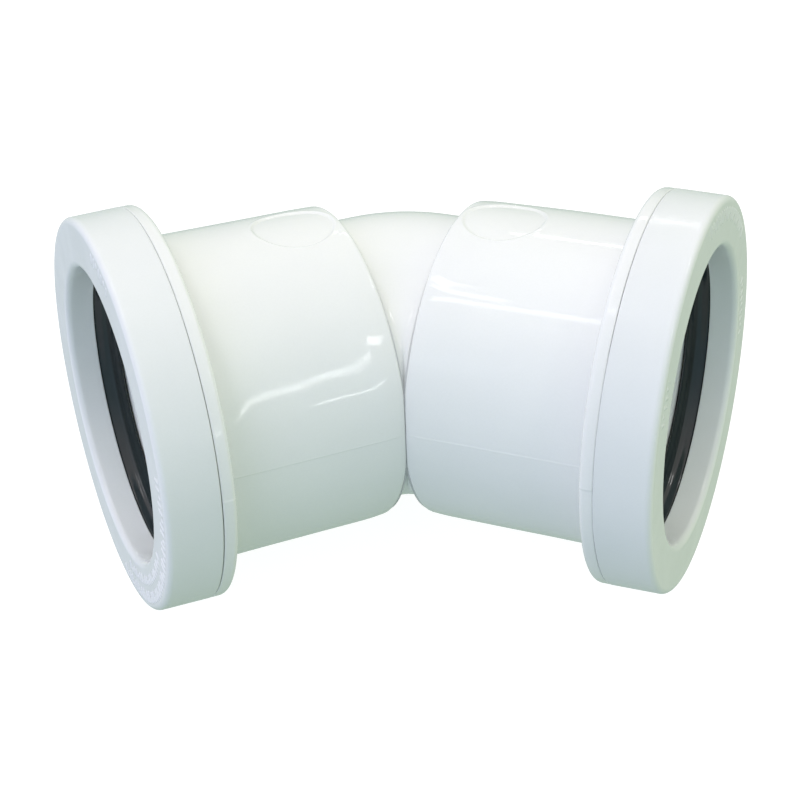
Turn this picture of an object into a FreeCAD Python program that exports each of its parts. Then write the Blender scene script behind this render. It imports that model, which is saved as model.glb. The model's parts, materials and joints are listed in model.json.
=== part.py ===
import FreeCAD, Part
import math
import os

from FreeCAD import Placement, Rotation, Vector

# Push-fit waste pipe bend, 40 mm nominal size, 135 degrees between its sockets.
#
# Each arm is a body of revolution about its socket's axis. The two socket axes lie in
# one plane and cross at one point, and every distance along an arm is measured outward
# from that crossing. The fitting is built with that plane level, and then laid down as
# it rests on a table, on its two flanges and its two shoulders, with the bend lower than
# the mouths. Lengths are in millimetres.

# ---- Driving dimensions -------------------------------------------------------------

ARM_ANGLE = 22.5               # each socket axis below the X axis, degrees
PIPE_RADIUS = 20.5             # the pipe that the sockets take, 41 mm outside
PIPE_CLEARANCE = 0.3           # radial room round the pipe in the rigid sockets
WALL = 2.1                     # wall of the sockets and of the bend

MOUTH = 44.45                  # front face of the retaining cap
SEAM = 36.93                   # middle of the seam between cap and flange
SEAM_GAP = 0.24
FLANGE_REAR = 34.88
SHOULDER = 9.06                # where the socket's barrel steps down to the bend

RING_RADIUS = 27.8             # outside of the flange and of the cap's rear edge
CAP_FRONT_RADIUS = 27.7
BARREL_RADIUS_FRONT = 22.94    # the barrel's outside beside the flange
BARREL_RADIUS_REAR = 22.8      # and at the shoulder: mould draft
BEND_RADIUS = 20.07            # outside of the bend's tube
BEND_CENTRELINE = 8.86         # radius of the bend's centre line

SEAL_FRONT = 40.4              # end of the cap's nose, which holds the seal in
SEAL_LIP_RADIUS = 20.55        # lip as a fitted pipe leaves it
SEAL_SEAT_RADIUS = 24.6        # outer wall of the seal's chamber
RIM_RADIUS = 26.0              # outside of the rim that the cap clips over
RIM_END = 41.9
BEAD_HEIGHT = 0.45             # the rim's bead, which holds the cap on
CLIP_CLEARANCE = 0.1           # radial room between the rim and the cap

CAP_EDGE_ROUND = 0.85
FLANGE_EDGE_ROUND = 0.7
SHOULDER_ROUND = 0.8
LEAD_IN = 0.6                  # rounded lead-in at the cap's mouth

INSERT_MARK_RADIUS = 5.65      # round mark of a mould insert on top of each barrel
INSERT_MARK_PLACE = 15.65
INSERT_MARK_DEPTH = 0.2

# ---- Worked out from them -----------------------------------------------------------

HALF_TURN = math.radians(ARM_ANGLE)
SOCKET_RADIUS = PIPE_RADIUS + PIPE_CLEARANCE
WATERWAY_RADIUS = BEND_RADIUS - WALL
PIPE_STOP = SHOULDER + WALL
TANGENT = BEND_CENTRELINE * math.tan(HALF_TURN)
BEND_CENTRE = BEND_CENTRELINE / math.cos(HALF_TURN)
FLANGE_FRONT = SEAM - SEAM_GAP / 2.0
CAP_REAR = SEAM + SEAM_GAP / 2.0
BEAD_FRONT = RIM_END - 0.7
BEAD_TOP_FRONT = BEAD_FRONT - 0.8
BEAD_TOP_REAR = BEAD_TOP_FRONT - 0.5
BEAD_REAR = BEAD_TOP_REAR - 0.5
OVERLAP = 1.0                  # how far cutters and joined lumps run into each other

SIDES = {"left": -1, "right": 1}


def axis_of(side):
    """Unit vector along one socket's axis, outward."""
    return Vector(side * math.cos(HALF_TURN), -math.sin(HALF_TURN), 0)


def on_arm(shape, side):
    """Turn a shape made along +Z so that it lies along one arm."""
    placed = shape.copy()
    placed.Placement = Placement(Vector(0, 0, 0), Rotation(Vector(0, 0, 1), axis_of(side)))
    return placed


def outline(corners):
    """Closed face through (radius, distance, rounding) corners, with arcs at rounded ones."""
    edges = []
    count = len(corners)
    points = [Vector(corner[0], 0, corner[1]) for corner in corners]
    starts = []
    ends = []
    middles = []
    for index in range(count):
        point = points[index]
        rounding = corners[index][2]
        before = (points[index - 1] - point).normalize()
        after = (points[(index + 1) % count] - point).normalize()
        half = before.getAngle(after) / 2.0
        cut = rounding / math.tan(half)
        starts.append(point + before * cut)
        ends.append(point + after * cut)
        bisector = (before + after).normalize()
        middles.append(point + bisector * (rounding / math.sin(half) - rounding))
    for index in range(count):
        if corners[index][2] > 0:
            edges.append(Part.Arc(starts[index], middles[index], ends[index]).toShape())
        line_end = starts[(index + 1) % count]
        edges.append(Part.LineSegment(ends[index], line_end).toShape())
    return Part.Face(Part.Wire(edges))


def turned(corners):
    """Solid of revolution about +Z from an outline of (radius, distance, rounding)."""
    return outline(corners).revolve(Vector(0, 0, 0), Vector(0, 0, 1), 360)


def bent_rod(radius, reach):
    """Solid rod of the bend: two straight ends and the curved wedge between them.

    The centre line's radius is less than the rod's, so only the part of the section
    outside the bend's axis is swept, and the straight ends fill the inside of the bend.
    """
    chord = math.sqrt(radius ** 2 - BEND_CENTRELINE ** 2)
    low = Vector(0, -BEND_CENTRE, -chord)
    high = Vector(0, -BEND_CENTRE, chord)
    outermost = Vector(0, -BEND_CENTRE + BEND_CENTRELINE + radius, 0)
    section = Part.Face(Part.Wire([Part.LineSegment(high, low).toShape(),
                                   Part.Arc(low, outermost, high).toShape()]))
    centre = Vector(0, -BEND_CENTRE, 0)
    section.rotate(centre, Vector(0, 0, 1), -ARM_ANGLE)
    rod = section.revolve(centre, Vector(0, 0, 1), 2 * ARM_ANGLE)
    for side in SIDES.values():
        start = axis_of(side) * TANGENT
        rod = rod.fuse(Part.makeCylinder(radius, reach - TANGENT, start, axis_of(side)))
    return rod


def socket_outside():
    """One arm outside the bend: barrel, flange and the rim with its bead."""
    return turned([
        (0, SHOULDER, 0),
        (BARREL_RADIUS_REAR, SHOULDER, SHOULDER_ROUND),
        (BARREL_RADIUS_FRONT, FLANGE_REAR, 0.4),
        (RING_RADIUS, FLANGE_REAR, FLANGE_EDGE_ROUND),
        (RING_RADIUS, FLANGE_FRONT, 0.12),
        (RIM_RADIUS, FLANGE_FRONT, 0),
        (RIM_RADIUS, BEAD_REAR, 0),
        (RIM_RADIUS + BEAD_HEIGHT, BEAD_TOP_REAR, 0.15),
        (RIM_RADIUS + BEAD_HEIGHT, BEAD_TOP_FRONT, 0.15),
        (RIM_RADIUS, BEAD_FRONT, 0),
        (RIM_RADIUS, RIM_END, 0.25),
        (0, RIM_END, 0),
    ])


def socket_hollow():
    """What is cut out of one arm: the pipe's socket and the seal's chamber."""
    bevel = 0.3
    return turned([
        (0, PIPE_STOP, 0),
        (SOCKET_RADIUS, PIPE_STOP, 0.3),
        (SOCKET_RADIUS, FLANGE_FRONT - bevel, 0),
        (SOCKET_RADIUS + bevel, FLANGE_FRONT, 0),
        (SEAL_SEAT_RADIUS, FLANGE_FRONT, 0),
        (SEAL_SEAT_RADIUS, RIM_END + OVERLAP, 0),
        (0, RIM_END + OVERLAP, 0),
    ])


def barrel_radius_at(distance):
    """Outside radius of the drafted barrel at a distance along the arm."""
    share = (distance - SHOULDER) / (FLANGE_REAR - SHOULDER)
    return BARREL_RADIUS_REAR + share * (BARREL_RADIUS_FRONT - BARREL_RADIUS_REAR)


def insert_mark(side):
    """Shallow round sinking on top of a barrel, where the mould had a round insert."""
    rear = INSERT_MARK_PLACE - INSERT_MARK_RADIUS - OVERLAP
    front = INSERT_MARK_PLACE + INSERT_MARK_RADIUS + OVERLAP
    skin = turned([
        (barrel_radius_at(rear) - INSERT_MARK_DEPTH, rear, 0),
        (barrel_radius_at(rear) + OVERLAP, rear, 0),
        (barrel_radius_at(front) + OVERLAP, front, 0),
        (barrel_radius_at(front) - INSERT_MARK_DEPTH, front, 0),
    ])
    foot = axis_of(side) * INSERT_MARK_PLACE
    plug = Part.makeCylinder(INSERT_MARK_RADIUS, RING_RADIUS, foot, Vector(0, 0, 1))
    return on_arm(skin, side).common(plug)


def elbow_body():
    """The one-piece moulding: two sockets joined by the bend."""
    body = bent_rod(BEND_RADIUS, PIPE_STOP)
    for side in SIDES.values():
        body = body.fuse(on_arm(socket_outside(), side))
    body = body.cut(bent_rod(WATERWAY_RADIUS, PIPE_STOP + OVERLAP))
    for side in SIDES.values():
        body = body.cut(on_arm(socket_hollow(), side))
        body = body.cut(insert_mark(side))
    return body.Solids[0]


def retaining_cap():
    """Clip-on cap: a skirt over the rim, a front wall and a nose that holds the seal in."""
    skirt_radius = RIM_RADIUS + CLIP_CLEARANCE
    groove_radius = skirt_radius + BEAD_HEIGHT
    nose_radius = SEAL_SEAT_RADIUS - CLIP_CLEARANCE
    return turned([
        (RING_RADIUS, CAP_REAR, 0.12),
        (CAP_FRONT_RADIUS, MOUTH, CAP_EDGE_ROUND),
        (SOCKET_RADIUS, MOUTH, LEAD_IN),
        (SOCKET_RADIUS, SEAL_FRONT, 0.1),
        (nose_radius, SEAL_FRONT, 0),
        (nose_radius, RIM_END, 0),
        (skirt_radius, RIM_END, 0),
        (skirt_radius, BEAD_FRONT + CLIP_CLEARANCE, 0),
        (groove_radius, BEAD_TOP_FRONT + CLIP_CLEARANCE, 0),
        (groove_radius, BEAD_TOP_REAR - CLIP_CLEARANCE, 0),
        (skirt_radius, BEAD_REAR - CLIP_CLEARANCE, 0),
        (skirt_radius, CAP_REAR, 0),
    ])


def seal_ring():
    """Rubber ring: a heel held in the chamber and a lip that bears on the pipe."""
    heel_radius = SEAL_SEAT_RADIUS - 0.05
    lip_thickness = 0.9
    undercut_depth = 2.0
    root_radius = SEAL_LIP_RADIUS + 1.9
    return turned([
        (heel_radius, FLANGE_FRONT, 0.2),
        (heel_radius, SEAL_FRONT, 0.2),
        (SEAL_LIP_RADIUS + 0.55, SEAL_FRONT, 0.4),
        (SEAL_LIP_RADIUS, FLANGE_FRONT + 0.15, 0.3),
        (SEAL_LIP_RADIUS + lip_thickness, FLANGE_FRONT + 0.35, 0.2),
        (root_radius, FLANGE_FRONT + undercut_depth, 0.25),
        (root_radius + 0.5, FLANGE_FRONT, 0.15),
    ])


def depth_below_crossing(distance, radius, rounding, tilt):
    """How far a ring's rounded edge reaches below the crossing when the bend dips by tilt."""
    edge_distance = distance + rounding
    edge_radius = radius - rounding
    spread = math.sqrt(math.cos(tilt) ** 2 + (math.cos(HALF_TURN) * math.sin(tilt)) ** 2)
    rise = edge_distance * math.sin(HALF_TURN) * math.sin(tilt)
    return edge_radius * spread + rounding - rise


def resting_tilt():
    """The dip at which the flanges and the shoulders touch a table together, in radians."""
    level = 0.0
    steep = math.radians(60)
    for _ in range(50):
        tilt = (level + steep) / 2.0
        flange = depth_below_crossing(FLANGE_REAR, RING_RADIUS, FLANGE_EDGE_ROUND, tilt)
        shoulder = depth_below_crossing(SHOULDER, BARREL_RADIUS_REAR, SHOULDER_ROUND, tilt)
        if flange > shoulder:
            level = tilt
        else:
            steep = tilt
    return tilt


def build():
    """Every node's solid, by name, lying at rest with the origin under its middle."""
    nodes = {"elbow_body": elbow_body()}
    for name, side in SIDES.items():
        nodes[name + "_retaining_cap"] = on_arm(retaining_cap(), side)
        nodes[name + "_seal_ring"] = on_arm(seal_ring(), side)
    for shape in nodes.values():
        shape.rotate(Vector(0, 0, 0), Vector(1, 0, 0), -math.degrees(resting_tilt()))
    box = Part.makeCompound(list(nodes.values())).optimalBoundingBox(False, False)
    for shape in nodes.values():
        shape.translate(Vector(0, -(box.YMin + box.YMax) / 2.0, -box.ZMin))
    return nodes


os.makedirs("parts", exist_ok=True)
for node, shape in build().items():
    print(node, "valid", shape.isValid(), "volume", round(shape.Volume, 1))
    shape.exportStep(os.path.join("parts", node + ".step"))
print("resting tilt", round(math.degrees(resting_tilt()), 4), "degrees")
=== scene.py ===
import json
import math

import bmesh
import bpy
from mathutils import Matrix, Vector, noise


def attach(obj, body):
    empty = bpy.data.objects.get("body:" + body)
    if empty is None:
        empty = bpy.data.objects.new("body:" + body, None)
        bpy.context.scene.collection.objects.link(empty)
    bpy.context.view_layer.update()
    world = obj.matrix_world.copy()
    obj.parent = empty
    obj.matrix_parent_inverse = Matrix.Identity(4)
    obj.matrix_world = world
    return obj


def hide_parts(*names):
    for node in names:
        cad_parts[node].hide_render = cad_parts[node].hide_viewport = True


# Push-fit waste pipe bend: a white moulding with a socket on each arm, and on each socket
# a seal ring and a retaining cap. Every piece here stands for one CAD node and is made in
# arm coordinates: the distance outward from where the socket axes cross, the radius from
# the socket's axis, and the angle round it, which is 0 at the inside of the bend and 90
# degrees at the top. The bend's plane isn't level, because the fitting lies on its flanges
# and shoulders.
#
# Sizes are in millimetres and named angles in degrees, unless a comment says otherwise. A
# function's parameter called angle is in radians.

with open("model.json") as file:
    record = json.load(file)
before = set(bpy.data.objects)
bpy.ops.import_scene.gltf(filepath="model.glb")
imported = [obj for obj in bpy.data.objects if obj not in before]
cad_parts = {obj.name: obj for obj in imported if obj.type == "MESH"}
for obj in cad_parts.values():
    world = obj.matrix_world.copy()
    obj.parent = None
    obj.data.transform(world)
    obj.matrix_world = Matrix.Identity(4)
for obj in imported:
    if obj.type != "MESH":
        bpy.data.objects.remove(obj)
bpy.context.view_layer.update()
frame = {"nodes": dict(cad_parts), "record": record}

MM = 0.001                     # metres
FULL_TURN = 2.0 * math.pi      # radians
SIDES = {"left": -1, "right": 1}
TOUCHING = 1e-6                # metres: points closer than this are one point

# ---- Where the arms lie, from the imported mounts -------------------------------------

MOUNTS = {mount["name"]: mount for mount in frame["record"]["mounts"]}
AXES = {}
for arm_name, arm_side in SIDES.items():
    AXES[arm_side] = Vector(MOUNTS[arm_name + "_socket"]["axis"]).normalized()
right_place = Vector(MOUNTS["right_socket"]["pos_m"])
CROSSING = right_place - AXES[1] * (right_place.x / AXES[1].x)
HALF_TURN = math.acos(AXES[1].x)    # half the angle that the pipe turns by, in radians
ACROSS = (AXES[1] - AXES[-1]).normalized()
INSIDE = (AXES[1] + AXES[-1]).normalized()
UP = AXES[-1].cross(AXES[1]).normalized()


def extent(node, side):
    """Least and greatest distance along an arm, then least and greatest radius, of a node."""
    distances = []
    radii = []
    for vertex in frame["nodes"][node].data.vertices:
        offset = (vertex.co - CROSSING) / MM
        distance = offset.dot(AXES[side])
        distances.append(distance)
        radii.append((offset - AXES[side] * distance).length)
    return min(distances), max(distances), min(radii), max(radii)


# ---- Sizes along and across an arm --------------------------------------------------

CAP_REAR, MOUTH, SOCKET_RADIUS, RING_RADIUS = extent("right_retaining_cap", 1)
FLANGE_FRONT, SEAL_FRONT, SEAL_LIP_RADIUS, SEAL_HEEL_RADIUS = extent("right_seal_ring", 1)
FLANGE_REAR = 34.88
SHOULDER = 9.06
WALL = 2.1
PIPE_STOP = SHOULDER + WALL
CAP_FRONT_RADIUS = 27.7
BARREL_FRONT = 22.94
BARREL_REAR = 22.8
BEND_RADIUS = 20.07
WATERWAY_RADIUS = BEND_RADIUS - WALL
BEND_CENTRELINE = 8.86
BEND_FILLET = 7.0              # least radius of the bend's skin, at its inside
SEAL_SEAT_RADIUS = SEAL_HEEL_RADIUS + 0.05
RIM_RADIUS = 26.0
RIM_END = 41.9
CLIP_CLEARANCE = 0.1
BEAD_HEIGHT = 0.45
BEAD_PLACES = (0.7, 1.5, 2.0, 2.5)      # behind the rim's end: front foot, crest, rear foot
GROOVE_PLACES = (0.6, 1.4, 2.1, 2.6)    # the same for the cap's groove, which clips over it
MOUTH_CHAMFER = 0.3            # between the seal's chamber and the pipe socket

MARK_RADIUS = 5.65             # round mould-insert mark on top of each barrel
MARK_PLACE = 15.65
MARK_DEPTH = 0.2
MARK_MARGIN = 0.6              # how far past the mark the barrel's close rows go on
MARK_SLOPE = (-0.14, 0.06)     # where the mark's wall starts and ends, past its radius
MARK_LIP = 0.06                # height of the lip that the mark's edge raises
MARK_LIP_PLACE = 0.28
MARK_LIP_REACH = 0.16
TUBE_JOIN = SHOULDER - 1.2     # where the bend's own rows take over from the profile
WATERWAY_JOIN = PIPE_STOP - 1.0     # and where they do inside


def smooth_step(low, high, value):
    """0 below low, 1 above high, and an even S between them."""
    share = min(max((value - low) / (high - low), 0.0), 1.0)
    return share * share * (3.0 - 2.0 * share)


def bend_vector(across, back, up):
    """A vector given across the bend, towards its outside and square to its plane."""
    return ACROSS * across - INSIDE * back + UP * up


def place(side, distance, radius, angle):
    """A point of an arm, in metres in the shared frame."""
    inward = INSIDE * math.cos(HALF_TURN) - ACROSS * side * math.sin(HALF_TURN)
    outward = inward * math.cos(angle) + UP * math.sin(angle)
    return CROSSING + (AXES[side] * distance + outward * radius) * MM


# ---- Profiles -----------------------------------------------------------------------

SMALL_ROUNDING = 0.2           # an arc up to this radius takes no more than two steps
HOLD = 0.12                    # from an arc's end to the close point beside it


def profile(corners, closed, wide_steps=6):
    """(radius, distance) points through (radius, distance, rounding, spacing) corners.

    A rounded corner becomes an arc with a close point on each side of it, which keeps the
    shading of the flats clean; a small one takes fewer steps than a wide one. Spacing is the
    longest step on the run after the corner.
    """
    count = len(corners)
    runs = []
    for index, (radius, distance, rounding, spacing) in enumerate(corners):
        point = Vector((radius, distance))
        at_end = not closed and index in (0, count - 1)
        if rounding == 0 or at_end:
            runs.append([point])
            continue
        before = (Vector(corners[index - 1][:2]) - point).normalized()
        after = (Vector(corners[(index + 1) % count][:2]) - point).normalized()
        half = before.angle(after) / 2.0
        cut = rounding / math.tan(half)
        centre = point + (before + after).normalized() * (rounding / math.sin(half))
        first = point + before * cut - centre
        last = point + after * cut - centre
        sweep = first.angle_signed(last)
        arc_steps = wide_steps if rounding > SMALL_ROUNDING else 2
        arc = []
        for step in range(arc_steps + 1):
            turn = Matrix.Rotation(-sweep * step / arc_steps, 2)
            arc.append(centre + turn @ first)
        runs.append([point + before * (cut + HOLD)] + arc + [point + after * (cut + HOLD)])
    points = []
    for index in range(count if closed else count - 1):
        run = runs[index]
        start = run[-1]
        end = runs[(index + 1) % count][0]
        steps = max(1, math.ceil((end - start).length / corners[index][3] - 1e-6))
        points += run
        for step in range(1, steps):
            points.append(start.lerp(end, step / steps))
    if not closed:
        points += runs[-1]
    return [(point.x, point.y) for point in points]


def fine_angles(coarse, fine_spans):
    """Angles round an arm in radians: a coarse step, and finer ones within the given spans.

    A span is (first, last, step) in degrees, and spans don't overlap.
    """
    spans = sorted(fine_spans)
    start = spans[0][0]
    degrees = []
    for index, (first, last, step) in enumerate(spans):
        count = round((last - first) / step)
        degrees += [first + step * number for number in range(count)]
        following = spans[index + 1][0] if index + 1 < len(spans) else start + 360.0
        gap = following - last
        steps = max(1, round(gap / coarse))
        degrees += [last + gap * number / steps for number in range(steps)]
    return [math.radians(degree) for degree in degrees]


# ---- Meshes -------------------------------------------------------------------------

def grid_mesh(bm, rows, wrap_rows):
    """Faces between rows of vertices. Each row is a closed ring; rows may close too."""
    made = [[bm.verts.new(point) for point in row] for row in rows]
    count = len(made)
    for index in range(count if wrap_rows else count - 1):
        lower = made[index]
        upper = made[(index + 1) % count]
        for column in range(len(lower)):
            following = (column + 1) % len(lower)
            bm.faces.new((lower[column], lower[following], upper[following], upper[column]))
    return made


EDGE_REACH = 0.55              # how far the rubbing spreads from a worn corner
CORNER_INSET = 0.2             # about how far a rounding's middle lies inside its corner


def note_edges(bm, side, corners):
    """Stores how near each vertex is to a worn outer corner, as the attribute "edge"."""
    layer = bm.verts.layers.float.get("edge") or bm.verts.layers.float.new("edge")
    for vert in bm.verts:
        offset = (vert.co - CROSSING) / MM
        distance = offset.dot(AXES[side])
        if distance * side * offset.x < 0:
            continue
        radius = (offset - AXES[side] * distance).length
        nearest = min(math.hypot(radius - corner_radius, distance - corner_distance)
                      for corner_radius, corner_distance in corners)
        vert[layer] = max(vert[layer], math.exp(-(nearest / EDGE_REACH) ** 2))


def finish_mesh(name, bm, material, node):
    """Makes a smooth-shaded piece from a bmesh, in the place of a CAD node."""
    bmesh.ops.recalc_face_normals(bm, faces=bm.faces)
    for face in bm.faces:
        face.smooth = True
    mesh = bpy.data.meshes.new(name)
    bm.to_mesh(mesh)
    bm.free()
    mesh.materials.append(material)
    piece = bpy.data.objects.new(name, mesh)
    bpy.context.scene.collection.objects.link(piece)
    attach(piece, "root")
    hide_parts(node)
    return piece


def ring_rows(side, points, angles, shift):
    """Rows of a ring turned about an arm's axis, each point moved by shift's (radial, along)."""
    rows = []
    for radius, distance in points:
        row = []
        for angle in angles:
            radial, along = shift(radius, distance, angle)
            row.append(place(side, distance + along, radius + radial, angle))
        rows.append(row)
    return rows


# ---- The body's fine surface --------------------------------------------------------

WAVE_DEPTH = 0.09              # long shallow waves that cooling leaves in a moulded wall
WAVE_SCALE = 0.075             # waves to the millimetre
RIPPLE_DEPTH = 0.012
RIPPLE_SCALE = 0.21
CROWN_LENGTH = 4.0             # the barrel's end falls away a little towards the shoulder
CROWN_DEPTH = 0.17
SINK_LENGTH = 4.0              # and it sinks a little beside the thick flange
SINK_DEPTH = 0.05
SINK_END = 0.4                 # how far before the flange the sink is deepest
SKIN_START = (0.2, 2.5)        # how far past the shoulder waves and parting line set in
FLANGE_START = (0.1, 1.0)      # how far out from the barrel the flange's own skin takes over
FLASH_HEIGHT = 0.03            # ridge along the line where the mould's halves met
FLASH_WIDTH = 0.28             # degrees
STEP_EDGE = 0.05               # how far off that line the halves' small mismatch starts
STEP_FADE = (5.0, 55.0)        # and how far round it starts and stops fading

SHOULDERS_MEET = 0.13          # how much closer the shoulders come where they touch
MEET_FADE = (0.8, 3.0)         # how far past the shoulder that starts and stops fading
MEET_SHARPNESS = 10            # how quickly it fades round the arm, as a power of the cosine
BEND_FILL = 1.9                # how much the bend's skin rises in the crease between them
FILL_FADE = (28.0, 62.0)       # angles from the inside at which that starts and stops fading
VALLEY_RISE = 0.3              # the valley that it leaves there is where it rises by more
VALLEY_END = SHOULDER - 0.1    # and stops just before the shoulders' walls
CREASE_ROUNDS = 20             # how many times that valley is smoothed

NEAR = 0.01                    # tells which run of the profile a point is on
SKIN_THICKNESS = 0.75          # the barrel's skin and its rounded corner reach no deeper

# How deep one half lies below the other at the parting line, on each barrel and flange.
# A negative depth sinks the upper half instead of the lower.
BARREL_STEP = {-1: 0.045, 1: -0.022}
FLANGE_STEP = {-1: -0.05, 1: 0.06}


def cooling_waves(side, distance, angle):
    """Long waves and finer ripples in the barrel's wall, from each side's own noise."""
    point = place(side, distance, BARREL_REAR, angle) / MM
    slow = noise.noise(point * WAVE_SCALE + Vector((3.0 * side, 0.0, 7.0)))
    quick = noise.noise(point * RIPPLE_SCALE + Vector((11.0, 5.0 * side, 0.0)))
    return WAVE_DEPTH * slow + RIPPLE_DEPTH * quick


def parting_offsets(angle):
    """How many degrees an angle is above each parting line, at 0 and at 180 degrees."""
    degrees = math.degrees(angle)
    above_inside = (degrees + 180.0) % 360.0 - 180.0
    above_outside = (180.0 - degrees + 180.0) % 360.0 - 180.0
    return above_inside, above_outside


def parting_line(angle, depth):
    """The flash ridge and the small step where the mould's halves don't quite meet."""
    height = 0.0
    for above in parting_offsets(angle):
        height += FLASH_HEIGHT * math.exp(-(above / FLASH_WIDTH) ** 2)
        sunk_side = above < -STEP_EDGE if depth > 0 else above > STEP_EDGE
        if sunk_side:
            height -= abs(depth) * (1.0 - smooth_step(*STEP_FADE, abs(above)))
    return height


def insert_mark(distance, radius, angle):
    """The sunk round mark on top of a barrel, with the lip that its edge raises."""
    if math.sin(angle) <= 0:
        return 0.0
    past = math.hypot(distance - MARK_PLACE, radius * math.cos(angle)) - MARK_RADIUS
    sunk = MARK_DEPTH * (1.0 - smooth_step(*MARK_SLOPE, past))
    lip = MARK_LIP * math.exp(-((past - MARK_LIP_PLACE) / MARK_LIP_REACH) ** 2)
    return lip - sunk


def barrel_shift(side, distance, radius, angle):
    """How far the barrel's skin stands off its plain profile."""
    fade = smooth_step(*SKIN_START, distance - SHOULDER)
    crown = max(SHOULDER + CROWN_LENGTH - distance, 0.0) / CROWN_LENGTH
    sink = smooth_step(FLANGE_REAR - SINK_LENGTH, FLANGE_REAR - SINK_END, distance)
    waves = cooling_waves(side, distance, angle) * fade
    ends = -CROWN_DEPTH * crown ** 2 - SINK_DEPTH * sink
    parting = parting_line(angle, BARREL_STEP[side]) * fade
    return waves + ends + parting + insert_mark(distance, radius, angle)


def bend_fill(angle):
    """How far the bend's skin stands off its round tube at an angle."""
    return BEND_FILL * (1.0 - smooth_step(*FILL_FADE, abs(parting_offsets(angle)[0])))


def body_shift(side, radius, distance, angle):
    """How far the body stands off its plain profile: nothing inside it and under the cap."""
    if distance < SHOULDER + NEAR and BEND_RADIUS - NEAR < radius < BARREL_REAR:
        return bend_fill(angle) * (BARREL_REAR - radius) / (BARREL_REAR - BEND_RADIUS)
    if distance > FLANGE_FRONT + NEAR or radius < BARREL_REAR - SKIN_THICKNESS:
        return 0.0
    on_flange = smooth_step(*FLANGE_START, radius - BARREL_FRONT)
    height = 0.0
    if on_flange < 1:
        height += (1.0 - on_flange) * barrel_shift(side, distance, radius, angle)
    if on_flange > 0:
        height += on_flange * (parting_line(angle, FLANGE_STEP[side]) - FLASH_HEIGHT)
    return height


def tube_rows(side, plain_radius, filled, join, angles, steps):
    """Rows of the bend, its crease filled or not, from the middle plane to a distance."""
    rows = []
    reach = join / math.tan(HALF_TURN)
    for step in range(steps):
        share = step / steps
        row = []
        for angle in angles:
            radius = plain_radius + (bend_fill(angle) if filled else 0.0)
            across = radius * math.cos(angle)
            pivot = min(max(BEND_CENTRELINE, across + BEND_FILLET), reach)
            turn_radius = pivot - across
            if turn_radius <= 0:
                end = across * math.tan(HALF_TURN)
                distance = end + (max(join, end) - end) * share
                row.append(place(side, distance, radius, angle))
                continue
            tangent = pivot * math.tan(HALF_TURN)
            arc_length = turn_radius * HALF_TURN
            travelled = (arc_length + join - tangent) * share
            if travelled >= arc_length:
                distance = tangent + travelled - arc_length
                row.append(place(side, distance, radius, angle))
                continue
            turn = (arc_length - travelled) / turn_radius
            centre = place(side, tangent, pivot, 0.0)
            point = place(side, tangent, radius, angle)
            spin = Matrix.Rotation(side * turn, 3, UP)
            row.append(centre + spin @ (point - centre))
        rows.append(row)
    return rows


def clamped(distance, radius, angle):
    """Distance along an arm, kept on the arm's own side of the middle plane."""
    return max(distance, radius * math.cos(angle) * math.tan(HALF_TURN))


def body_profile():
    """The body's section from the bend's outside, round the mouth, to the pipe stop."""
    front_foot, crest_front, crest_rear, rear_foot = (RIM_END - back for back in BEAD_PLACES)
    mark_end = MARK_PLACE + MARK_RADIUS + MARK_MARGIN
    share = (mark_end - SHOULDER) / (FLANGE_REAR - SHOULDER)
    mark_end_radius = BARREL_REAR + share * (BARREL_FRONT - BARREL_REAR)
    return profile([
        (BEND_RADIUS, TUBE_JOIN, 0, 0.5),
        (BEND_RADIUS, SHOULDER, 1.0, 0.6),
        (BARREL_REAR, SHOULDER, 0.5, 0.2),
        (mark_end_radius, mark_end, 0, 0.8),
        (BARREL_FRONT, FLANGE_REAR, 0.4, 0.8),
        (RING_RADIUS, FLANGE_REAR, 0.7, 0.5),
        (RING_RADIUS, FLANGE_FRONT, 0.12, 1.0),
        (RIM_RADIUS, FLANGE_FRONT, 0, 1.0),
        (RIM_RADIUS, rear_foot, 0, 1.0),
        (RIM_RADIUS + BEAD_HEIGHT, crest_rear, 0.15, 1.0),
        (RIM_RADIUS + BEAD_HEIGHT, crest_front, 0.15, 1.0),
        (RIM_RADIUS, front_foot, 0, 1.0),
        (RIM_RADIUS, RIM_END, 0.25, 1.0),
        (SEAL_SEAT_RADIUS, RIM_END, 0.15, 1.0),
        (SEAL_SEAT_RADIUS, FLANGE_FRONT, 0.1, 1.0),
        (SOCKET_RADIUS + MOUTH_CHAMFER, FLANGE_FRONT, 0, 1.0),
        (SOCKET_RADIUS, FLANGE_FRONT - MOUTH_CHAMFER, 0.1, 2.0),
        (SOCKET_RADIUS, PIPE_STOP, 0.3, 1.0),
        (WATERWAY_RADIUS, PIPE_STOP, 0.15, 1.0),
        (WATERWAY_RADIUS, WATERWAY_JOIN, 0, 1.0),
    ], closed=False)


def round_crease(bm):
    """Rounds the sharp valley of the bend's skin, where it is narrow between the shoulders."""
    valley = []
    for vert in bm.verts:
        offset = (vert.co - CROSSING) / MM
        axis = AXES[1 if offset.x > 0 else -1]
        distance = offset.dot(axis)
        radius = (offset - axis * distance).length
        if distance < VALLEY_END and radius > BEND_RADIUS + VALLEY_RISE:
            valley.append(vert)
    for _ in range(CREASE_ROUNDS):
        bmesh.ops.smooth_vert(bm, verts=valley, factor=0.5, use_axis_x=True, use_axis_y=True,
                              use_axis_z=True)


def on_middle_plane(element):
    """Whether every vertex of a face or an edge lies where the body's two halves meet."""
    return all(abs(vert.co.x) < TOUCHING for vert in element.verts)


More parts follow.
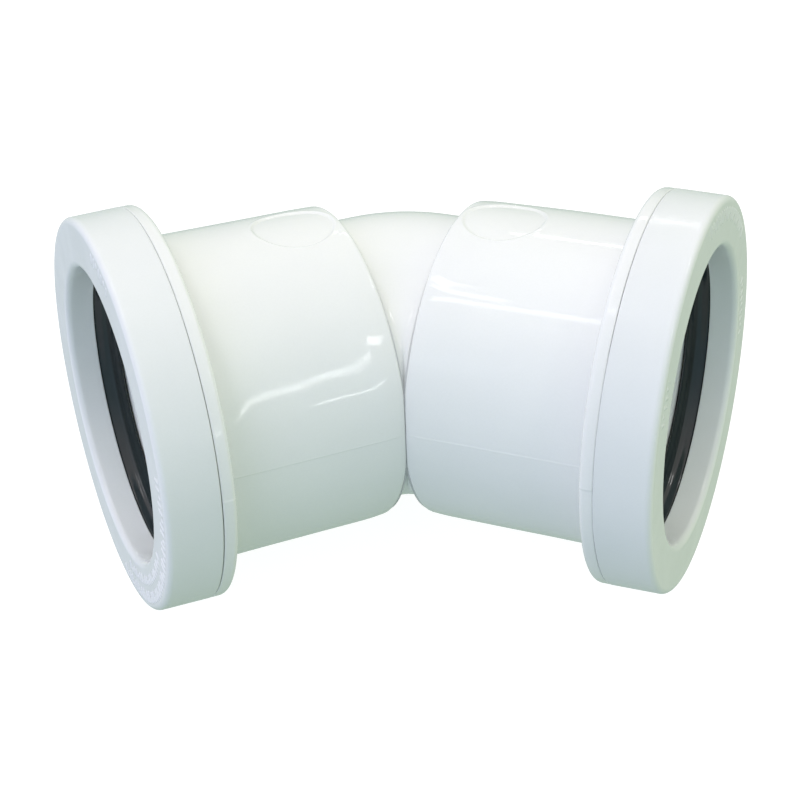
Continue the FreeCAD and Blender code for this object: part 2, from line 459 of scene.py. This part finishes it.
# Where the body's surface needs closer angles: the crease's sides, the parting lines and
# the insert mark. First and last angle, and step.
BODY_SPANS = [(-44.0, -14.0, 1.25), (-1.5, 1.5, 0.25), (14.0, 44.0, 1.0), (74.0, 106.0, 0.42),
              (178.5, 181.5, 0.25)]
BODY_STEP = 4.0                # degrees between rows elsewhere
SKIN_STEPS = 14                # rows along the bend from the middle plane
WATERWAY_STEPS = 6
SHARP_EDGE = 25.0              # the middle plane's edges look sharp when they turn by more


def build_body(material):
    """The one-piece moulding: both halves of it meet on the middle plane."""
    angles = fine_angles(BODY_STEP, BODY_SPANS)
    points = body_profile()
    bm = bmesh.new()
    for side in SIDES.values():
        rows = tube_rows(side, BEND_RADIUS, True, TUBE_JOIN, angles, SKIN_STEPS)
        for radius, distance in points:
            row = []
            closer = SHOULDERS_MEET * (1.0 - smooth_step(*MEET_FADE, distance - SHOULDER))
            for angle in angles:
                nearer = distance - closer * max(math.cos(angle), 0.0) ** MEET_SHARPNESS
                held = clamped(nearer, radius, angle)
                stand_off = body_shift(side, radius, distance, angle)
                row.append(place(side, held, radius + stand_off, angle))
            rows.append(row)
        rows += reversed(tube_rows(side, WATERWAY_RADIUS, False, WATERWAY_JOIN, angles,
                                   WATERWAY_STEPS))
        grid_mesh(bm, rows, False)
    bmesh.ops.remove_doubles(bm, verts=bm.verts, dist=TOUCHING)
    middle = [face for face in bm.faces if on_middle_plane(face)]
    bmesh.ops.delete(bm, geom=middle, context="FACES")
    loose = [vert for vert in bm.verts if not vert.link_faces]
    bmesh.ops.delete(bm, geom=loose, context="VERTS")
    round_crease(bm)
    bm.normal_update()
    for edge in bm.edges:
        if on_middle_plane(edge) and len(edge.link_faces) == 2:
            edge.smooth = edge.calc_face_angle() < math.radians(SHARP_EDGE)
    for side in SIDES.values():
        note_edges(bm, side, [(BARREL_REAR - CORNER_INSET, SHOULDER + CORNER_INSET),
                              (RING_RADIUS - CORNER_INSET, FLANGE_REAR + CORNER_INSET),
                              (RING_RADIUS, FLANGE_FRONT)])
    return finish_mesh("elbow_moulding", bm, material, "elbow_body")


# ---- Caps ---------------------------------------------------------------------------

TICK_HEIGHT = 0.13             # raised ticks on the cap's front, in place of its lettering
TICK_PITCH = 1.15
TICK_WIDTH = 0.34
TICK_STEP = 0.3                # degrees between the points round a row of ticks
TICK_EASE = 0.1                # length of the slope at a tick's ends

CAP_STEP = 2.4                 # degrees between the points elsewhere
CAP_WAVE_DEPTH = 0.04
CAP_WAVE_SCALE = 0.09
SEAT_FADE = (0.3, 3.0)         # how far from the rear edge its shift starts and stops fading

# Rows of raised ticks on each cap's front: first and last angle, inner and outer radius.
TICK_ROWS = {
    -1: [(66.0, 85.0, 24.9, 26.3), (-92.0, 10.0, 24.9, 26.5), (-84.0, -24.0, 22.6, 23.9)],
    1: [(86.0, 140.0, 24.4, 26.2), (160.0, 186.0, 22.7, 23.9), (19.0, 33.0, 24.4, 25.8)],
}

# How far the cap's rear edge stands from its plain place, by angle round the arm, because
# the caps don't sit quite square on their rims.
CAP_SEAT = {
    -1: [(-90, -0.11), (-20, -0.09), (30, -0.15), (60, -0.185), (90, -0.205), (180, -0.1)],
    1: [(-90, -0.16), (-25, -0.17), (-10, -0.232), (25, -0.232), (50, -0.175), (90, -0.19),
        (180, -0.1)],
}


def tick_height(side, radius, angle):
    """Height of the raised ticks at a point of the cap's front: every third one is short."""
    degrees = math.degrees(angle)
    height = 0.0
    for first, last, inner, outer in TICK_ROWS[side]:
        along = (degrees - first) % 360.0
        if along > last - first:
            continue
        travelled = math.radians(along) * (inner + outer) / 2.0
        number = int(travelled / TICK_PITCH)
        off = abs(travelled - (number + 0.5) * TICK_PITCH)
        low = (inner + outer) / 2.0 if number % 3 == 1 else inner
        bar = 1.0 - smooth_step(TICK_WIDTH * 0.35, TICK_WIDTH * 0.75, off)
        ends = smooth_step(low - TICK_EASE, low + TICK_EASE, radius)
        ends *= 1.0 - smooth_step(outer - TICK_EASE, outer + TICK_EASE, radius)
        height += TICK_HEIGHT * bar * ends
    return height


def seat_shift(side, angle):
    """The cap's rear edge's shift at an angle, smooth between the given places."""
    degrees = (math.degrees(angle) + 90.0) % 360.0 - 90.0
    places = CAP_SEAT[side] + [(270, CAP_SEAT[side][0][1])]
    for (first, low), (last, high) in zip(places, places[1:]):
        if degrees <= last:
            return low + (high - low) * smooth_step(first, last, degrees)
    return places[-1][1]


def build_cap(side_name, side, material):
    """Clip-on cap: skirt, front wall with its rounded mouth, and the seal-holding nose."""
    skirt = RIM_RADIUS + CLIP_CLEARANCE
    groove = skirt + BEAD_HEIGHT
    nose = SEAL_SEAT_RADIUS - CLIP_CLEARANCE
    front_foot, floor_front, floor_rear, rear_foot = (RIM_END - back for back in GROOVE_PLACES)
    points = profile([
        (RING_RADIUS, CAP_REAR, 0.12, 1.0),
        (CAP_FRONT_RADIUS, MOUTH, 0.85, 0.15),
        (SOCKET_RADIUS, MOUTH, 0.9, 0.8),
        (SOCKET_RADIUS, SEAL_FRONT, 0.1, 1.0),
        (nose, SEAL_FRONT, 0, 1.0),
        (nose, RIM_END, 0, 1.0),
        (skirt, RIM_END, 0, 1.0),
        (skirt, front_foot, 0, 1.0),
        (groove, floor_front, 0, 1.0),
        (groove, floor_rear, 0, 1.0),
        (skirt, rear_foot, 0, 1.0),
        (skirt, CAP_REAR, 0, 1.0),
    ], closed=True, wide_steps=8)
    spans = [(first - 1.0, last + 1.0, TICK_STEP) for first, last in joined_spans(side)]
    angles = fine_angles(CAP_STEP, spans)

    def shift(radius, distance, angle):
        radial = 0.0
        along = 0.0
        if radius > CAP_FRONT_RADIUS - 0.9:
            point = place(side, distance, radius, angle) / MM
            wave = noise.noise(point * CAP_WAVE_SCALE + Vector((21.0, 4.0 * side, 2.0)))
            radial = CAP_WAVE_DEPTH * (wave - 0.6)
        if distance < CAP_REAR + SEAT_FADE[1]:
            held = smooth_step(*SEAT_FADE, distance - CAP_REAR)
            along += seat_shift(side, angle) * (1.0 - held)
        if distance > MOUTH - NEAR:
            along += tick_height(side, radius, angle)
        return radial, along

    bm = bmesh.new()
    grid_mesh(bm, ring_rows(side, points, angles, shift), True)
    note_edges(bm, side, [(RING_RADIUS, CAP_REAR),
                          (CAP_FRONT_RADIUS - CORNER_INSET, MOUTH - CORNER_INSET)])
    return finish_mesh(side_name + "_ring_cap", bm, material, side_name + "_retaining_cap")


def joined_spans(side):
    """The angles that the rows of ticks cover, with overlapping rows joined."""
    spans = []
    for first, last, _, _ in sorted(TICK_ROWS[side]):
        if spans and first <= spans[-1][1]:
            spans[-1][1] = max(spans[-1][1], last)
        else:
            spans.append([first, last])
    return spans


# ---- Seals --------------------------------------------------------------------------

RIB_HEIGHT = 0.13              # round rib along the middle of the seal's lip
RIB_REACH = 0.32
LIP_INNER = 0.6                # the lip's inner side lies within this of its least radius
LIP_OUTER = 1.2                # and its tip's outer side within this
LIP_WAVE_DEPTH = 0.05
LIP_WAVE_SCALE = 0.12
SEAL_POINTS = 240              # round each ring


def build_seal(side_name, side, material):
    """Rubber ring with a heel in the chamber and a ribbed lip towards the pipe."""
    root = SEAL_LIP_RADIUS + 1.9
    rib_place = (SEAL_FRONT + FLANGE_FRONT) / 2.0
    points = profile([
        (SEAL_HEEL_RADIUS, FLANGE_FRONT, 0.2, 1.0),
        (SEAL_HEEL_RADIUS, SEAL_FRONT, 0.2, 1.0),
        (SEAL_LIP_RADIUS + 0.55, SEAL_FRONT, 0.4, 0.12),
        (SEAL_LIP_RADIUS, FLANGE_FRONT + 0.15, 0.3, 1.0),
        (SEAL_LIP_RADIUS + 0.9, FLANGE_FRONT + 0.35, 0.2, 1.0),
        (root, FLANGE_FRONT + 2.0, 0.25, 1.0),
        (root + 0.5, FLANGE_FRONT, 0.15, 1.0),
    ], closed=True)
    angles = [FULL_TURN * index / SEAL_POINTS for index in range(SEAL_POINTS)]

    def shift(radius, distance, angle):
        if radius > SEAL_LIP_RADIUS + LIP_OUTER:
            return 0.0, 0.0
        point = place(side, distance, radius, angle) / MM
        wave = noise.noise(point * LIP_WAVE_SCALE + Vector((0.0, 31.0, 2.0 * side)))
        uneven = LIP_WAVE_DEPTH * (wave + 0.7)
        if radius > SEAL_LIP_RADIUS + LIP_INNER:
            return uneven, 0.0
        return uneven - RIB_HEIGHT * math.exp(-((distance - rib_place) / RIB_REACH) ** 2), 0.0

    bm = bmesh.new()
    grid_mesh(bm, ring_rows(side, points, angles, shift), True)
    return finish_mesh(side_name + "_lip_seal", bm, material, side_name + "_seal_ring")


# ---- Materials ----------------------------------------------------------------------

# Features to the metre of each noise, coarse to fine.
TONE_SCALE = 55.0
SMUDGE_SCALE = 120.0
SPECK_SCALE = 150.0
PATCH_SCALE = 260.0
PEEL_SCALE = 700.0
FILM_GRAIN_SCALE = 2600.0
FLECK_SCALE = 3500.0
SAND_SCALE = 5200.0

SPECK_TONE = (0.22, 0.2, 0.17, 1.0)         # grit that stuck to the plastic
RUBBED_TONE = (0.93, 0.94, 0.935, 1.0)      # worn corners
FLECK_TONE = (0.6, 0.62, 0.58, 1.0)
SPECK_RADII = (0.012, 0.03)                 # in shares of the specks' spacing
SPECKS_KEPT = (0.9, 0.92)                   # only about one place in ten has its speck
RUBBED_SHARE = 0.08
RUBBED_DULLNESS = 0.04
FLECK_SHARE = 0.05
BUMP_DISTANCE = 0.1 * MM
PLASTIC_IOR = 1.49


def add_node(tree, kind, inputs, **settings):
    """A shader node with its settings. An input that is given a socket is linked to it."""
    made = tree.nodes.new("ShaderNode" + kind)
    for name, value in settings.items():
        setattr(made, name, value)
    for name, value in inputs.items():
        if isinstance(value, bpy.types.NodeSocket):
            tree.links.new(value, made.inputs[name])
        else:
            made.inputs[name].default_value = value
    return made


def fractal(tree, place_socket, scale, detail):
    """Noise at a number of features to the metre."""
    return add_node(tree, "TexNoise", {"Vector": place_socket, "Scale": scale,
                                       "Detail": detail}).outputs["Fac"]


def mapped(tree, value, from_low, from_high, to_low, to_high):
    """A value moved from one range to another, and kept inside it."""
    return add_node(tree, "MapRange", {
        "Value": value, "From Min": from_low, "From Max": from_high,
        "To Min": to_low, "To Max": to_high}).outputs["Result"]


def mixed(tree, factor, first, second):
    """A colour between two colours."""
    return add_node(tree, "Mix", {"Factor": factor, "A": first, "B": second},
                    data_type="RGBA").outputs["Result"]


def calculated(tree, operation, first, second):
    """Two values put together."""
    made = add_node(tree, "Math", {}, operation=operation)
    for index, value in enumerate((first, second)):
        if isinstance(value, bpy.types.NodeSocket):
            tree.links.new(value, made.inputs[index])
        else:
            made.inputs[index].default_value = value
    return made.outputs["Value"]


def principled(name):
    """A node material, its tree, its main shader and the object's coordinates."""
    material = bpy.data.materials.new(name)
    material.use_nodes = True
    tree = material.node_tree
    spot = tree.nodes.new("ShaderNodeTexCoord").outputs["Object"]
    return material, tree, tree.nodes["Principled BSDF"], spot


def plastic(name, light, dark, smooth, dull, grain):
    """White moulded polypropylene: uneven tone and gloss, specks, flecks, rubbed edges.

    Its tone lies between light and dark, its roughness between smooth and dull, and grain
    is how much of the fine sand shows in its surface.
    """
    material, tree, shader, spot = principled(name)

    uneven = mapped(tree, fractal(tree, spot, TONE_SCALE, 4.0), 0.35, 0.65, 0.0, 1.0)
    tone = mixed(tree, uneven, (*dark, 1.0), (*light, 1.0))
    speck = add_node(tree, "TexVoronoi", {"Vector": spot, "Scale": SPECK_SCALE})
    near = mapped(tree, speck.outputs["Distance"], *SPECK_RADII, 1.0, 0.0)
    chosen = add_node(tree, "SeparateColor", {"Color": speck.outputs["Color"]})
    some = mapped(tree, chosen.outputs["Red"], *SPECKS_KEPT, 0.0, 0.7)
    tone = mixed(tree, calculated(tree, "MULTIPLY", near, some), tone, SPECK_TONE)
    rubbed = add_node(tree, "Attribute", {}, attribute_name="edge").outputs["Fac"]
    patchy = mapped(tree, fractal(tree, spot, PATCH_SCALE, 5.0), 0.42, 0.62, 0.1, 1.0)
    rubbed = calculated(tree, "MULTIPLY", rubbed, patchy)
    lighter = calculated(tree, "MULTIPLY", rubbed, RUBBED_SHARE)
    tone = mixed(tree, lighter, tone, RUBBED_TONE)
    flecks = mapped(tree, fractal(tree, spot, FLECK_SCALE, 2.0), 0.3, 0.7, 0.0, FLECK_SHARE)
    tone = mixed(tree, flecks, tone, FLECK_TONE)
    tree.links.new(tone, shader.inputs["Base Color"])

    smudge = mapped(tree, fractal(tree, spot, SMUDGE_SCALE, 6.0), 0.4, 0.65, smooth, dull)
    duller = calculated(tree, "MULTIPLY", rubbed, RUBBED_DULLNESS)
    tree.links.new(calculated(tree, "ADD", smudge, duller), shader.inputs["Roughness"])

    peel = fractal(tree, spot, PEEL_SCALE, 3.0)
    sand = calculated(tree, "MULTIPLY", fractal(tree, spot, SAND_SCALE, 2.0), grain)
    height = calculated(tree, "ADD", peel, sand)
    bump = add_node(tree, "Bump", {"Strength": 0.05, "Distance": BUMP_DISTANCE,
                                   "Height": height})
    tree.links.new(bump.outputs["Normal"], shader.inputs["Normal"])
    shader.inputs["IOR"].default_value = PLASTIC_IOR
    shader.inputs["Subsurface Weight"].default_value = 0.2
    shader.inputs["Subsurface Radius"].default_value = (1.0, 1.0, 0.9)
    shader.inputs["Subsurface Scale"].default_value = 1.5 * MM
    return material


def rubber(name):
    """Dark grey rubber with a film of silicone grease."""
    material, tree, shader, spot = principled(name)
    film = fractal(tree, spot, PATCH_SCALE, 3.0)
    tone = mixed(tree, film, (0.015, 0.022, 0.025, 1.0), (0.023, 0.032, 0.036, 1.0))
    tree.links.new(tone, shader.inputs["Base Color"])
    tree.links.new(mapped(tree, film, 0.35, 0.65, 0.04, 0.09), shader.inputs["Roughness"])
    bump = add_node(tree, "Bump", {"Strength": 0.05, "Distance": BUMP_DISTANCE,
                                   "Height": fractal(tree, spot, FILM_GRAIN_SCALE, 2.0)})
    tree.links.new(bump.outputs["Normal"], shader.inputs["Normal"])
    return material


# ---- Stage, lights and camera -------------------------------------------------------

FLOOR_HALF = 3.0               # metres
FLOOR_GLOW = 0.85
FLOOR_TONE = 0.3


def build_floor():
    """Plain white floor, which shows no more than a faint shadow under the fitting."""
    mesh = bpy.data.meshes.new("floor")
    half = FLOOR_HALF
    mesh.from_pydata([(-half, -half, 0), (half, -half, 0), (half, half, 0), (-half, half, 0)],
                     [], [(0, 1, 2, 3)])
    material, _, shader, _ = principled("floor_paper")
    shader.inputs["Base Color"].default_value = (FLOOR_TONE, FLOOR_TONE, FLOOR_TONE, 1.0)
    shader.inputs["Roughness"].default_value = 0.9
    shader.inputs["Emission Color"].default_value = (1.0, 1.0, 1.0, 1.0)
    shader.inputs["Emission Strength"].default_value = FLOOR_GLOW
    mesh.materials.append(material)
    floor = bpy.data.objects.new("floor", mesh)
    bpy.context.scene.collection.objects.link(floor)
    floor.visible_diffuse = False
    floor.visible_glossy = False


WHITE = (1.0, 1.0, 1.0)


def toward(bearing, elevation):
    """Direction at a bearing from the bend's outside, turning to the right, over its plane.

    Both are in degrees.
    """
    turn = math.radians(bearing)
    rise = math.radians(elevation)
    return bend_vector(math.sin(turn) * math.cos(rise), math.cos(turn) * math.cos(rise),
                       math.sin(rise))


def area_light(name, bearing, elevation, width, height, brightness, color=WHITE, lean=0.0,
               distance=1.0, seen=True):
    """A soft light that faces the fitting. Width, height and lean are in degrees.

    One that isn't seen lights the pieces, but leaves no reflection on them.
    """
    data = bpy.data.lights.new(name, "AREA")
    data.shape = "RECTANGLE"
    data.size = 2.0 * distance * math.tan(math.radians(width) / 2.0)
    data.size_y = 2.0 * distance * math.tan(math.radians(height) / 2.0)
    data.energy = brightness * math.pi * data.size * data.size_y
    data.color = color
    light = bpy.data.objects.new(name, data)
    bpy.context.scene.collection.objects.link(light)
    away = toward(bearing, elevation)
    level = UP.cross(away).normalized()
    rise = away.cross(level)
    turn = math.radians(lean)
    sideways = level * math.cos(turn) - rise * math.sin(turn)
    upward = away.cross(sideways)
    light.location = CROSSING + away * distance
    light.rotation_mode = "QUATERNION"
    light.rotation_quaternion = Matrix((sideways, upward, away)).transposed().to_quaternion()
    light.visible_camera = False
    light.visible_glossy = seen


# Light from the room by direction: towards the left and the right of the fitting, its
# front and its back, and below and above its plane, blended between them.
ROOM = {
    "across": ((0.9, 0.92, 1.1), (0.62, 0.695, 0.47)),
    "back": ((0.39, 0.54, 0.6), (0.4, 0.52, 0.46)),
    "up": ((0.4, 0.49, 0.4), (1.24, 1.15, 1.12)),
}


def build_room():
    """Soft light from all round, which the camera sees as plain white."""
    world = bpy.data.worlds.new("studio")
    world.use_nodes = True
    tree = world.node_tree
    direction = tree.nodes.new("ShaderNodeTexCoord").outputs["Generated"]
    color = None
    for axis, (low, high) in zip((ACROSS, -INSIDE, UP), ROOM.values()):
        lean = add_node(tree, "VectorMath", {}, operation="DOT_PRODUCT")
        tree.links.new(direction, lean.inputs[0])
        lean.inputs[1].default_value = axis
        ahead = calculated(tree, "GREATER_THAN", lean.outputs["Value"], 0.0)
        part = add_node(tree, "VectorMath", {}, operation="SCALE")
        tree.links.new(mixed(tree, ahead, (*low, 1.0), (*high, 1.0)), part.inputs[0])
        size = calculated(tree, "ABSOLUTE", lean.outputs["Value"], 0.0)
        weight = calculated(tree, "POWER", size, 2.0)
        tree.links.new(weight, part.inputs["Scale"])
        if color is None:
            color = part.outputs["Vector"]
            continue
        total = add_node(tree, "VectorMath", {}, operation="ADD")
        tree.links.new(color, total.inputs[0])
        tree.links.new(part.outputs["Vector"], total.inputs[1])
        color = total.outputs["Vector"]
    lit = tree.nodes["Background"]
    tree.links.new(color, lit.inputs["Color"])
    plain = add_node(tree, "Background", {"Color": (1.0, 1.0, 1.0, 1.0)})
    seen = tree.nodes.new("ShaderNodeLightPath").outputs["Is Camera Ray"]
    either = tree.nodes.new("ShaderNodeMixShader")
    tree.links.new(seen, either.inputs[0])
    tree.links.new(lit.outputs["Background"], either.inputs[1])
    tree.links.new(plain.outputs["Background"], either.inputs[2])
    tree.links.new(either.outputs["Shader"], tree.nodes["World Output"].inputs["Surface"])
    bpy.context.scene.world = world


def build_lights():
    """Small bright lights that leave streaks on the barrels, the caps and the seals.

    The unseen ones leave none: two panels lighten the sides, and a key light at the upper
    left gives the left barrel its soft shade. The numbers are each light's bearing,
    elevation, width, height and brightness.
    """
    area_light("back_tube", 15.2, 48.4, 13.4, 2.0, 6.5, distance=0.213)
    area_light("right_strip", 141.55, 19.6, 0.3, 29.0, 17.0, lean=21.0)
    area_light("right_pane", 130.0, 37.0, 6.0, 5.5, 6.0, lean=30.0)
    area_light("right_gap", 138.2, 9.1, 0.35, 9.5, 14.0, lean=55.0)
    area_light("right_panel", 76.0, 5.0, 30.0, 40.0, 0.5, color=(0.7, 0.8, 1.0), seen=False)
    area_light("right_spark", 80.0, 61.0, 10.0, 3.0, 14.0)
    area_light("left_line", -98.0, 65.0, 12.0, 2.4, 3.2, lean=-32.0)
    area_light("left_glow", -84.0, 66.5, 10.0, 5.5, 3.0, lean=-30.0)
    area_light("left_box", -115.5, 62.5, 17.0, 3.2, 3.0, lean=-40.0)
    area_light("left_window", -134.0, 22.0, 12.0, 10.0, 0.5, color=(0.75, 0.85, 1.0))
    area_light("left_panel", -148.0, 28.0, 30.0, 30.0, 1.2, color=(0.75, 0.67, 1.0), seen=False)
    area_light("left_key", -105.0, 64.0, 14.0, 14.0, 4.7, seen=False)


CAMERA_PLACE = (0.54, -226.36, 122.76)      # across the bend, back from it and up
CAMERA_AIM = (-0.71, -2.97, -7.11)
CAMERA_ROLL = 2.04
CAMERA_LENS = 79.31
CAMERA_SENSOR = 36.0


def build_camera():
    """Camera in front of the inside of the bend and above its plane."""
    data = bpy.data.cameras.new("camera")
    data.sensor_width = CAMERA_SENSOR
    data.lens = CAMERA_LENS
    data.clip_start = 0.01
    camera = bpy.data.objects.new("camera", data)
    bpy.context.scene.collection.objects.link(camera)
    camera.location = CROSSING + bend_vector(*CAMERA_PLACE) * MM
    aim = CROSSING + bend_vector(*CAMERA_AIM) * MM
    look = (aim - camera.location).normalized()
    level = look.cross(UP).normalized()
    roll = math.radians(CAMERA_ROLL)
    right = level * math.cos(roll) - level.cross(look) * math.sin(roll)
    camera.rotation_mode = "QUATERNION"
    turned = Matrix((right, right.cross(look), -look)).transposed()
    camera.rotation_quaternion = turned.to_quaternion()
    bpy.context.scene.camera = camera


body_plastic = plastic("body_white", light=(0.86, 0.88, 0.865), dark=(0.835, 0.855, 0.845),
                       smooth=0.045, dull=0.085, grain=0.1)
cap_plastic = plastic("cap_white", light=(0.82, 0.845, 0.845), dark=(0.79, 0.82, 0.82),
                      smooth=0.15, dull=0.24, grain=0.8)
seal_rubber = rubber("seal_black")
build_body(body_plastic)
for arm_name, arm_side in SIDES.items():
    build_cap(arm_name, arm_side, cap_plastic)
    build_seal(arm_name, arm_side, seal_rubber)
build_floor()
build_room()
build_lights()
build_camera()
bpy.context.scene.view_settings.view_transform = "Standard"
